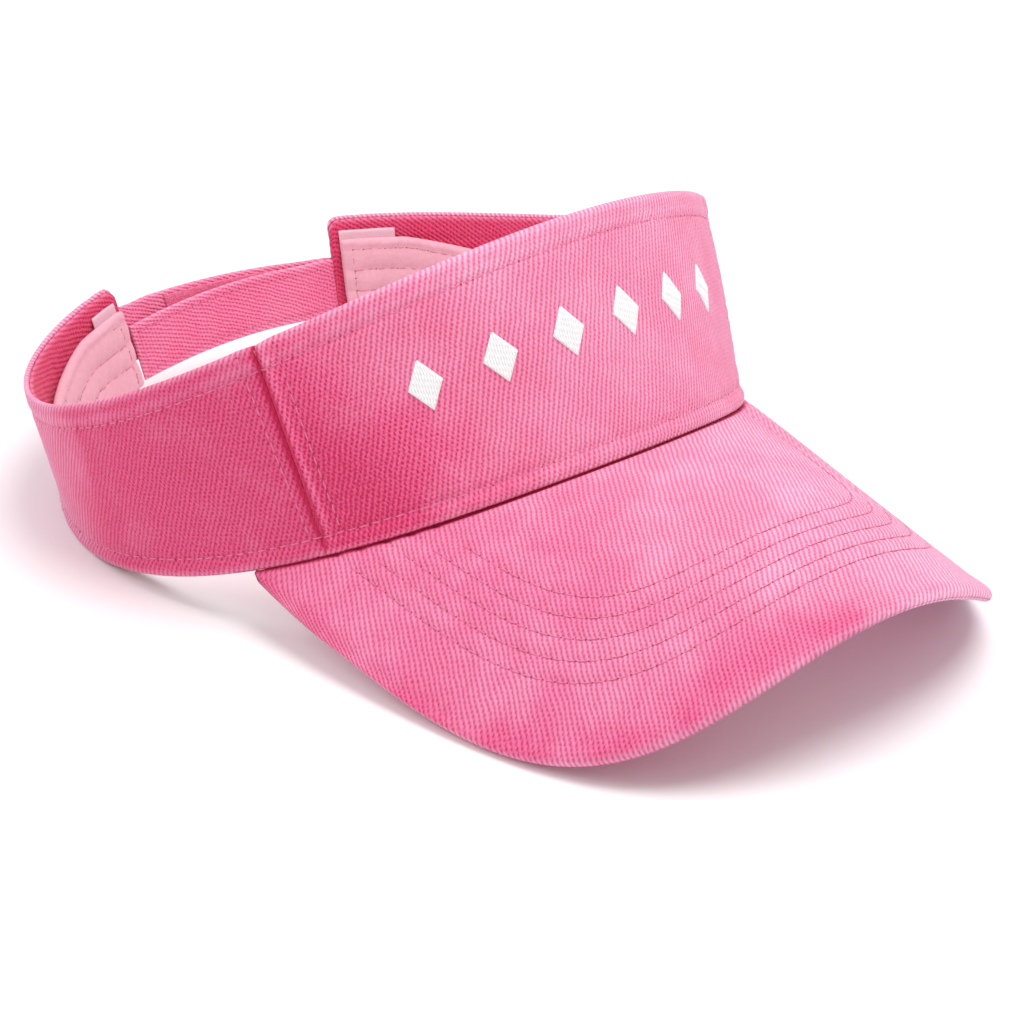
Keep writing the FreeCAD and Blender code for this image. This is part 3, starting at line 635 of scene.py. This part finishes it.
def sweatband():
    turned_over = 1.0 + FOLD_SHARE * np.sin(np.radians(np.linspace(-70, 70, 9)))
    up, down = np.linspace(0.0, 1.0 - FOLD_SHARE, 34), np.linspace(1.0 + FOLD_SHARE, 2.0, 34)
    walk = np.concatenate([up, turned_over, down])
    u, walk = np.meshgrid(spread(-sweat_end, sweat_end, 0.9, 0.7), walk, indexing="ij")
    top = sweat_top(u)
    height = top * np.where(walk < 1.0, walk, 2.0 - walk)
    rounded = top * (1.0 - FOLD_SHARE + FOLD_SHARE * np.cos((walk - 1.0) / FOLD_SHARE * np.pi / 2.0))
    height = np.where(np.abs(walk - 1.0) < FOLD_SHARE, rounded, height)
    turn = np.clip((walk - 1.0 + FOLD_SHARE) / (2.0 * FOLD_SHARE), 0.0, 1.0)
    share = 0.5 - 0.5 * np.cos(turn * np.pi)
    gape = swell(top - height, 0.9, 5.0) * (0.5 + 0.5 * np.sin(u * 0.05 + 0.6))
    back = np.full_like(u, SWEAT_BACK)
    face = sweat_face(u, height)
    pinch = roundness(sweat_end - np.abs(u), 2.6)
    centre = (back + face) / 2.0
    offset = centre + (back * (1.0 - share) + face * share - centre) * pinch - gape * 0.35
    angle = angle_at(u)
    spot = band(angle, height / slant(angle), offset)
    step_u, step_w = np.gradient(spot, axis=0), np.gradient(spot, axis=1)
    normal = np.cross(step_u, step_w)
    normal /= np.maximum(np.linalg.norm(normal, axis=-1, keepdims=True), 1e-9)
    edge = roundness(np.minimum(u - u.min(), u.max() - u), 0.5)
    edge = edge * roundness(np.minimum(walk, 2.0 - walk) * top, 0.4)
    thick = (SWEAT_CLOTH / 2.0 * edge)[..., None]
    laid = np.stack([u, walk * SWEAT_HEIGHT], -1)
    faces = spot + normal * thick, spot - normal * thick
    return sewn_sheet("sweatband_cotton", faces[0], faces[1], laid, np.zeros_like(u))


def smooth_cotton(name, colour, shadow):
    """Closely woven plain cotton, brushed by wear, with a faint thread grid."""
    material, tree, shader = new_finish(name, 0.85, 0.2, 0.15)
    cloth = cloth_places(tree)
    threads = []
    for thread in add_node(tree, "ShaderNodeSeparateXYZ", {0: cloth}).outputs[:2]:
        turn = arithmetic(tree, "MULTIPLY", thread, 2.0 * math.pi / COTTON_PITCH)
        threads.append(arithmetic(tree, "SINE", turn))
    grid = arithmetic(tree, "MULTIPLY", threads[0], threads[1])
    nap = noise(tree, cloth, 0.9, 5.0).outputs[0]
    height = arithmetic(tree, "MULTIPLY_ADD", nap, 2.0, grid)
    finish_surface(tree, shader, two_colours(tree, nap, shadow, colour), height, 0.35, 0.0001)
    return material


sweat = sweatband()
sweat.data.materials.append(smooth_cotton("pale_pink_cotton", (0.89, 0.51, 0.60), (0.77, 0.35, 0.44)))
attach(sweat, "band")
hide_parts("sweatband")

# ---- Labels ----
# Two woven tapes caught behind the sweatband: a care label on the left and a size tab on the right.
# Both are plain, with nothing written on them.
label_weave = smooth_cotton("label_tape", (0.90, 0.60, 0.68), (0.80, 0.48, 0.57))
LABEL_BOTTOM, LABEL_PLACE, LABEL_HALF = 4.0, -1.9, 0.2
LABELS = (
    ("care_label", END_PLACE - 19.4, END_PLACE - 2.4, 3.4, "side_lining_left_twill"),
    ("size_label", 2.4 - END_PLACE, 12.9 - END_PLACE, 3.6, "side_lining_right_twill"),
)
for node_name, start, end, drop, behind in LABELS:
    u, height = np.meshgrid(spread(start, end, 0.6, 0.25), np.linspace(0.0, 1.0, 30), indexing="ij")
    angle = angle_at(u)
    full = slant(angle) - drop - LABEL_BOTTOM
    curl = 0.1 * np.sin((u - start) * 0.5) * height ** 2
    half = LABEL_HALF * roundness(np.minimum(u - start, end - u), 0.25)
    half = half * roundness(np.minimum(height, 1.0 - height) * 20.0, 0.3)
    level = (LABEL_BOTTOM + full * height) / slant(angle)
    faces = [band(angle, level, LABEL_PLACE + curl + part * half) for part in (1.0, -1.0)]
    laid = np.stack([u, height * full], -1)
    label = sewn_sheet(node_name + "_tape", faces[0], faces[1], laid, np.zeros_like(u))
    label.data.materials.append(label_weave)
    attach(label, "band")
    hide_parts(node_name)

# ---- Closure straps ----
# Folded twill straps, topstitched along both edges, each sewn into its own panel's end.
# The inner one passes inside the outer one, and they hold by the tapes between them.
STRAP_WIDTH, STRAP_THICK, TAPE_THICK, TAPE_INSET, STRAP_ROW = 16.0, 1.2, 0.7, 1.2, 2.2
HALF_GAP = 180.0 - PANEL_END
HINGE_BEYOND, STRAP_SAG, TAIL_LENGTH = 2.0, 3.5, 14.0
INNER_CENTRE, OUTER_CENTRE, OVER_PANEL = -1.525, 1.525, 2.65


def degrees_for(angle, length):
    return length / float(np.linalg.norm(lower_edge(angle + 0.5) - lower_edge(angle - 0.5)))


def ease(part):
    part = np.clip(part, 0.0, 1.0)
    return part * part * (3.0 - 2.0 * part)


end_step = degrees_for(PANEL_END, 1.0)
left_hinge = PANEL_END + HINGE_BEYOND * end_step
right_hinge = 360.0 - left_hinge


def strap_sag(angle):
    across = np.minimum(np.abs(angle - 180.0) / HALF_GAP, 1.0)
    return -STRAP_SAG * (1.0 - across ** 2)


def inner_route(angle):
    """Lower level and offset of the inner strap's middle at an angle."""
    across = np.minimum(np.abs(angle - 180.0) / HALF_GAP, 1.0)
    low = -0.05 - 0.03 * (1.0 - across ** 2)
    return low, INNER_CENTRE * ease((angle - left_hinge) / (0.3 * HALF_GAP)) + strap_sag(angle)


def outer_route(angle):
    low = -0.07 + 0.23 * np.clip((angle - PANEL_END) / (2.0 * HALF_GAP), 0.0, None) ** 2
    climb = 0.35 * HALF_GAP
    lift = (OVER_PANEL - OUTER_CENTRE) * ease((PANEL_END + climb - angle) / climb)
    return low, (OUTER_CENTRE + lift) * ease((right_hinge - angle) / (0.3 * HALF_GAP)) + strap_sag(angle)


def strap_piece(name, route, root, free, lean_sign):
    """A strap from its tail inside the panel to its free end; root is the panel's end it is sewn into."""
    direction = 1.0 if free > root else -1.0
    tail = root - direction * TAIL_LENGTH * end_step
    length = abs(free - tail) / end_step
    across_line = spread(0.0, STRAP_WIDTH, 0.8, 0.6)
    s, across = np.meshgrid(spread(0.0, length, 0.8, 0.6), across_line, indexing="ij")
    angle = tail + direction * s * end_step
    low, centre = route(angle)
    inside = 1.0 - ease((direction * (angle - root) / end_step + 1.0) / 1.9)
    root_low = np.maximum(low, 0.04) * inside + low * (1.0 - inside)
    width = np.minimum(STRAP_WIDTH, (low + STRAP_WIDTH / slant(angle) - root_low) * slant(angle))
    level = root_low + across / STRAP_WIDTH * width / slant(angle)
    from_edge = np.minimum(np.minimum(across, STRAP_WIDTH - across), np.minimum(s, length - s))
    rows = stitched_in(np.minimum(across, STRAP_WIDTH - across) - STRAP_ROW, 0.16, 0.7)
    relief = (rows + puckers(s, across, across - 8.0, 0.05, 7.0)) * (1.0 - inside)
    full = (0.6 * inside + STRAP_THICK * (1.0 - inside)) / 2.0
    half = (full + relief * 0.5) * roundness(from_edge, 0.6)
    centre = centre * (1.0 - inside) + 0.08 * inside
    faces = [band(angle, level, centre + part * half) for part in (1.0, -1.0)]
    if direction < 0.0:
        faces = faces[::-1]
    laid = np.stack([s, lean_sign * across], -1)
    return sewn_sheet(name, faces[0], faces[1], laid, swell(from_edge, 0.6, 0.8))


STRAP_RIB, STRAP_VALLEY, STRAP_WASHED = (0.97, 0.25, 0.45), (0.76, 0.06, 0.18), (0.97, 0.50, 0.68)
strap_twill = twill("pink_twill_strap", 66.0, STRAP_RIB, STRAP_VALLEY, STRAP_WASHED, pitch=1.08)
far_end = 360.0 - PANEL_END
inner_free = far_end - 0.9 * end_step
outer_free = PANEL_END - 11.0 * end_step
STRAPS = (
    ("inner_strap", inner_route, PANEL_END, inner_free, 1.0),
    ("outer_strap", outer_route, far_end, outer_free, -1.0),
)
for node_name, route, root, free, lean_sign in STRAPS:
    strap = strap_piece(node_name + "_twill", route, root, free, lean_sign)
    strap.data.materials.append(strap_twill)
    direction = 1.0 if free > root else -1.0
    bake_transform(strap)
    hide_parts(node_name, node_name + "_tail")


def fuzzy_tape(name, colour, hollow_shade, scale, bump_depth):
    """Hook-and-loop tape: a mat of tiny raised hooks or loops, darker down between them as painted shade."""
    material, tree, shader = new_finish(name, 0.75)
    inputs = {"Vector": cloth_places(tree), "Scale": scale, "Randomness": 0.55}
    dots = add_node(tree, "ShaderNodeTexVoronoi", inputs).outputs["Distance"]
    finish_surface(tree, shader, two_colours(tree, dots, colour, hollow_shade), dots, 1.0, bump_depth, invert=True)
    return material


def tape_piece(name, route, start, end, face):
    """A tape on one face of a strap, between two angles, inside the strap's long edges."""
    length = abs(end - start) / end_step
    low_side, high_side = TAPE_INSET, STRAP_WIDTH - TAPE_INSET
    across_line = spread(low_side, high_side, 0.9, 0.3)
    s, across = np.meshgrid(spread(0.0, length, 1.0, 0.3), across_line, indexing="ij")
    angle = start + (end - start) * s / length
    low, centre = route(angle)
    level = low + across / slant(angle)
    near_edge = np.minimum(np.minimum(across - low_side, high_side - across), np.minimum(s, length - s))
    half = TAPE_THICK / 2.0 * (0.4 + 0.6 * roundness(near_edge, 0.4)) * (near_edge > 1e-6)
    middle = centre + face * (STRAP_THICK + TAPE_THICK + 0.1) / 2.0
    faces = [band(angle, level, middle + part * half) for part in (1.0, -1.0)]
    return sewn_sheet(name, faces[0], faces[1], np.stack([s, across], -1), np.zeros_like(s))


tape_start = 0.39 * HALF_GAP
inner_tape = (left_hinge + tape_start, far_end - 9.5 * end_step)
outer_tape = (right_hinge - tape_start, outer_free + 29.0 * end_step)
TAPES = (
    ("loop_tape", "loop", "inner_strap", inner_route, *inner_tape, 1.0, 3.0),
    ("hook_tape", "hook", "outer_strap", outer_route, *outer_tape, -1.0, 1.5),
)
MAT_COLOUR, MAT_HOLLOW_SHADE = (0.92, 0.24, 0.42), (0.62, 0.07, 0.17)
for node_name, slot_name, strap_name, route, start, end, face, scale in TAPES:
    tape = tape_piece(node_name + "_mat", route, start, end, face)
    tape.data.materials.append(fuzzy_tape(slot_name + "_mat", MAT_COLOUR, MAT_HOLLOW_SHADE, scale, 0.0002))
    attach(tape, strap_name)
    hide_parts(node_name)

# ---- Stitching ----
# Single rows of lockstitch in pink cotton thread; each stitch dips into a needle hole at both ends.
# One stitch and the dark lens of painted shadow in its needle hole are modelled once and copied along every
# row.
STITCH_PITCH, STITCH_LENGTH, STITCH_THICK = 3.25, 2.75, 0.36


def plain_thread(name, colour, sheen):
    """Twisted sewing thread; the same finish in dark gives the painted shadow in a needle hole."""
    material, tree, shader = new_finish(name, 0.6, sheen=sheen)
    where = add_node(tree, "ShaderNodeTexCoord", {}).outputs["Object"]
    twist = noise(tree, where, 3500.0, 2.0).outputs[0]
    darker = tuple(part * 0.75 for part in colour)
    finish_surface(tree, shader, two_colours(tree, twist, darker, colour))
    return material


pink_thread = plain_thread("pink_thread", (0.88, 0.22, 0.41), 0.2)
rose_thread = plain_thread("rose_thread", (0.80, 0.27, 0.37), 0.1)
painted_hole_shadow = plain_thread("needle_hole_painted_shadow", (0.36, 0.03, 0.08), 0.0)
bpy.ops.object.select_all(action="DESELECT")
bpy.ops.mesh.primitive_uv_sphere_add(segments=6, ring_count=7, radius=0.5)
stitch = bpy.context.object
bpy.ops.object.select_all(action="DESELECT")
bpy.ops.mesh.primitive_uv_sphere_add(segments=6, ring_count=4, radius=0.5)
hole_shadow = bpy.context.object
template = []
for number, part in enumerate((stitch, hole_shadow)):
    points = np.zeros(len(part.data.vertices) * 3)
    part.data.vertices.foreach_get("co", points)
    points = points.reshape(-1, 3)[:, [2, 0, 1]]
    # The second part is a flat dark lens at the stitch's end: painted shadow in the needle hole.
    if number:
        points = points * (0.5, 0.44, 0.12) + (STITCH_PITCH / 2.0, 0.0, 0.03)
    else:
        bow = 0.16 * (1.0 - (points[:, 0] * 2.0) ** 2) - 0.07
        points = points * (STITCH_LENGTH, STITCH_THICK, STITCH_THICK * 0.8)
        points[:, 2] += bow
    part.data.vertices.foreach_set("co", points.ravel())
    part.data.materials.append(painted_hole_shadow if number else None)
    template.append(part)


def stitch_rows(name, rows, thread, size=1.0):
    """rows are lists of places and the same places a little above the cloth, both in millimetres."""
    copies = []
    for places, above in rows:
        steps = np.linalg.norm(np.diff(places, axis=0), axis=1)
        run = np.concatenate([[0.0], np.cumsum(steps)])
        count = max(1, int(round(run[-1] / (STITCH_PITCH * size))))
        for number in range(count):
            middle = run[-1] * (number + 0.5) / count
            near = middle + np.array([-0.8, 0.0, 0.8])
            spots = np.stack([np.interp(near, run, places[:, k]) for k in range(3)], axis=1)
            up = np.array([np.interp(middle, run, above[:, k]) for k in range(3)]) - spots[1]
            along = spots[2] - spots[0]
            along /= np.linalg.norm(along)
            up -= along * (up @ along)
            up /= np.linalg.norm(up)
            frame_of_stitch = np.stack([along, np.cross(up, along), up]) * size
            for part in template:
                mesh = part.data.copy()
                points = np.zeros(len(mesh.vertices) * 3)
                mesh.vertices.foreach_get("co", points)
                placed = (points.reshape(-1, 3) @ frame_of_stitch + spots[1]) * 0.001
                mesh.vertices.foreach_set("co", placed.ravel())
                if part is stitch:
                    mesh.materials[0] = thread
                copy = bpy.data.objects.new(name, mesh)
                bpy.context.scene.collection.objects.link(copy)
                copies.append(copy)
    bpy.ops.object.select_all(action="DESELECT")
    for copy in copies:
        copy.select_set(True)
    bpy.context.view_layer.objects.active = copies[0]
    bpy.ops.object.join()
    sewn = bpy.context.object
    sewn.name = name
    bpy.ops.object.shade_smooth()
    return sewn


def outer_row(u, level):
    return outer_place(u, level, 0.0), outer_place(u, level, 1.0)


around = np.arange(-END_PLACE + END_CORNER, END_PLACE - END_CORNER, 0.8)
around_height = slant(angle_at(around))
climb = np.linspace(0.0, 1.0, 60)
upright_low, upright_high = LOWER_HEM + 1.0, UPPER_HEM - 5.2
seam_rows, end_rows = [], []
for side in (-1.0, 1.0):
    seam_height = float(slant(FRONT_SEAM))
    level = (upright_low + (seam_height - upright_low - upright_high) * climb) / seam_height
    seam_rows.append(outer_row(side * (SEAM_PLACE - SEAM_ROW + 0.0 * level), level))
    seam_rows.append(outer_row(side * (SEAM_PLACE + side_row(level)), level))
    for inset in END_ROWS:
        end_height = float(slant(PANEL_END))
        level = (LOWER_HEM + 1.0 + (end_height - LOWER_HEM - UPPER_HEM - 2.0) * climb) / end_height
        end_rows.append(outer_row(side * (END_PLACE - inset + 0.0 * level), level))


def sweat_row(u, height, lift):
    angle = angle_at(u)
    return band(angle, height / slant(angle), sweat_face(u, height) - 0.28 - lift)


sweat_line = np.arange(-sweat_end + SWEAT_END_ROW, sweat_end - SWEAT_END_ROW, 0.8)
sweat_rows = []
for row in SWEAT_ROWS:
    height = sweat_top(sweat_line) - row
    sweat_rows.append((sweat_row(sweat_line, height, 0.0), sweat_row(sweat_line, height, 1.0)))
for side in (-1.0, 1.0):
    u = side * (sweat_end - SWEAT_END_ROW) + 0.0 * climb
    height = 1.0 + (sweat_top(u) - 1.6) * climb
    sweat_rows.append((sweat_row(u, height, 0.0), sweat_row(u, height, 1.0)))

def brim_row(distance):
    """Places on the peak's upper cloth that keep one distance from its edge."""
    along = np.linspace(-0.93, 0.93, 187)
    near, far = np.full_like(along, 0.05), np.full_like(along, 0.999)
    for _ in range(16):
        half = (near + far) / 2.0
        away = from_brim_edge(brim_middle(along, half, brim_lift))
        near, far = np.where(away > distance, half, near), np.where(away > distance, far, half)
    keep = near > 0.06
    along, out = along[keep], near[keep]
    middle, normal = brim_middle(along, out, brim_lift), brim_normal(along, out, brim_lift)
    lift = BRIM_DEPTH / 2.0 * out + brim_slack(along, out) - 0.24
    return middle + normal * lift[:, None], middle + normal * (lift + 1.0)[:, None]


GROUPS = (
    ("upper_hem_stitching", [outer_row(around, 1.0 - UPPER_HEM / around_height)], pink_thread),
    ("lower_hem_stitching", [outer_row(around, LOWER_HEM / around_height)], pink_thread),
    ("seam_stitching", seam_rows, pink_thread),
    ("panel_end_stitching", end_rows, pink_thread),
    ("sweatband_stitching", sweat_rows, rose_thread),
    ("peak_topstitching", [brim_row(ROW_FIRST + ROW_PITCH * row) for row in range(ROWS)], pink_thread),
)
for node_name, rows, thread in GROUPS:
    sewn = stitch_rows(node_name + "_thread", rows, thread)
    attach(sewn, "band")
    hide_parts(node_name)

for node_name, route, root, free, lean_sign in STRAPS:
    direction = 1.0 if free > root else -1.0
    angle = np.linspace(root + direction * 3.0 * end_step, free - direction * 2.0 * end_step, 120)
    low, centre = route(angle)
    depth = direction * (STRAP_THICK / 2.0 - 0.04)
    rows = []
    for across in (STRAP_ROW, STRAP_WIDTH - STRAP_ROW):
        level = low + across / slant(angle)
        rows.append((band(angle, level, centre - depth), band(angle, level, centre - depth - direction)))
    for far in (4.6, abs(free - root) / end_step - STRAP_ROW):
        spot = root + direction * far * end_step + 0.0 * climb
        low, centre = route(spot)
        level = low + (2.4 + (STRAP_WIDTH - 4.8) * climb) / slant(spot)
        rows.append((band(spot, level, centre - depth), band(spot, level, centre - depth - direction)))
    sewn = stitch_rows(node_name + "_thread", rows, pink_thread, 0.85)
    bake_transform(sewn)

bpy.data.objects.remove(stitch)
bpy.data.objects.remove(hole_shadow)

# ---- Embroidery ----
# Six lozenges of white satin stitch across the front; their threads lie upright, side by side.
MOTIFS, MOTIF_PITCH, MOTIF_LEVEL, MOTIF_WIDE, MOTIF_TALL = 6, 11.4, 0.56, 9.0, 13.0
THREAD_PITCH = 0.64
lozenges = []
for number in range(MOTIFS):
    centre_angle = (number - (MOTIFS - 1) / 2.0) * MOTIF_PITCH
    side, rise = np.meshgrid(np.linspace(-1.0, 1.0, 92), np.linspace(-1.0, 1.0, 40), indexing="ij")
    half_width = MOTIF_WIDE / 2.0 * (1.0 - np.abs(rise)) + 0.12
    x, y = side * half_width, rise * MOTIF_TALL / 2.0
    slope = MOTIF_TALL / math.hypot(MOTIF_WIDE, MOTIF_TALL)
    inset = (half_width - np.abs(x)) * slope
    u = float(along_head(centre_angle)) + x
    height = slant(angle_at(u))
    level = MOTIF_LEVEL + y / height
    threads = 0.06 * np.cos(2.0 * np.pi * x / THREAD_PITCH)
    dome = (0.5 + threads + 0.12 * (1.0 - rise ** 2)) * roundness(inset, 0.7)
    faces = [outer_place(u, level, dome), outer_place(u, level, -0.12 + 0.0 * dome)]
    faces[1] = np.where((inset < 1e-6)[..., None], faces[0], faces[1])
    lozenges.append(sewn_sheet("satin", faces[0], faces[1], np.stack([x, y], -1), np.zeros_like(x)))
bpy.ops.object.select_all(action="DESELECT")
for lozenge in lozenges:
    lozenge.select_set(True)
bpy.context.view_layer.objects.active = lozenges[0]
bpy.ops.object.join()
motif = bpy.context.object
motif.name = "front_satin"

white, tree, shader = new_finish("white_satin_thread", 0.5, sheen=0.3)
cloth = cloth_places(tree)
across, upwards = add_node(tree, "ShaderNodeSeparateXYZ", {0: cloth}).outputs[:2]
moved = arithmetic(tree, "MULTIPLY_ADD", noise(tree, cloth, 0.7, 2.0).outputs[0], 0.5, across)
lines = arithmetic(tree, "SINE", arithmetic(tree, "MULTIPLY", moved, 2.0 * math.pi / THREAD_PITCH))
dash_wave = arithmetic(tree, "COSINE", arithmetic(tree, "MULTIPLY_ADD", upwards, 1.9, moved))
# Grey in the gaps between threads and in dashes along them: painted shade in the satin's grooves.
gaps = {0: arithmetic(tree, "MULTIPLY", lines, dash_wave), 1: 0.35, 2: 1.0, 3: 0.0, 4: 0.55}
shade = add_node(tree, "ShaderNodeMapRange", gaps).outputs[0]
satin = two_colours(tree, shade, (0.95, 0.95, 0.95), (0.50, 0.50, 0.51))
finish_surface(tree, shader, satin, lines, 0.6, 0.00012)
motif.data.materials.append(white)
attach(motif, "band")
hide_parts("front_embroidery")

# ---- Floor, light and camera ----
# A plain pale table top lit from all round, with one broad soft light from the wearer's left.
bpy.ops.object.select_all(action="DESELECT")
bpy.ops.mesh.primitive_plane_add(size=12.0, location=(0.0, 0.0, 0.0))
table_top = bpy.context.object
table_top.name = "table_top"
paper, tree, shader = new_finish("pale_paper", 0.9, 0.1)
shader.inputs["Base Color"].default_value = (0.96, 0.96, 0.965, 1.0)
table_top.data.materials.append(paper)

world = bpy.data.worlds.new("soft_room")
world.use_nodes = True
room = world.node_tree.nodes["Background"]
room.inputs["Color"].default_value = (1.0, 1.0, 1.0, 1.0)
room.inputs["Strength"].default_value = 0.66
bpy.context.scene.world = world


def soft_light(name, place, aim, size, power):
    lamp = bpy.data.lights.new(name, "AREA")
    lamp.shape = "DISK"
    lamp.size = size
    lamp.energy = power
    holder = bpy.data.objects.new(name, lamp)
    bpy.context.scene.collection.objects.link(holder)
    holder.location = place
    holder.rotation_euler = (Vector(aim) - Vector(place)).to_track_quat("-Z", "Y").to_euler()
    return holder


soft_light("broad_light", (0.2, -0.3, 1.35), (0.0, -0.04, 0.03), 0.9, 12.0)
soft_light("left_light", (-0.9, 0.5, 1.0), (0.0, 0.0, 0.04), 1.0, 4.0)

CAMERA_ROUND, CAMERA_UP, CAMERA_AWAY = -39.85, 27.74, 0.9355
FOCAL_LENGTH = 121.95
aim = Vector((0.01126, -0.025, -0.00236))
turn, rise = math.radians(CAMERA_ROUND), math.radians(CAMERA_UP)
back = Vector((math.sin(turn) * math.cos(rise), -math.cos(turn) * math.cos(rise), math.sin(rise)))
camera_data = bpy.data.cameras.new("camera")
camera_data.lens = FOCAL_LENGTH
camera_data.sensor_width = 36.0
camera = bpy.data.objects.new("camera", camera_data)
bpy.context.scene.collection.objects.link(camera)
camera.location = aim + back * CAMERA_AWAY
camera.rotation_euler = (-back).to_track_quat("-Z", "Y").to_euler()
bpy.context.scene.camera = camera
bpy.context.scene.view_settings.view_transform = "Standard"
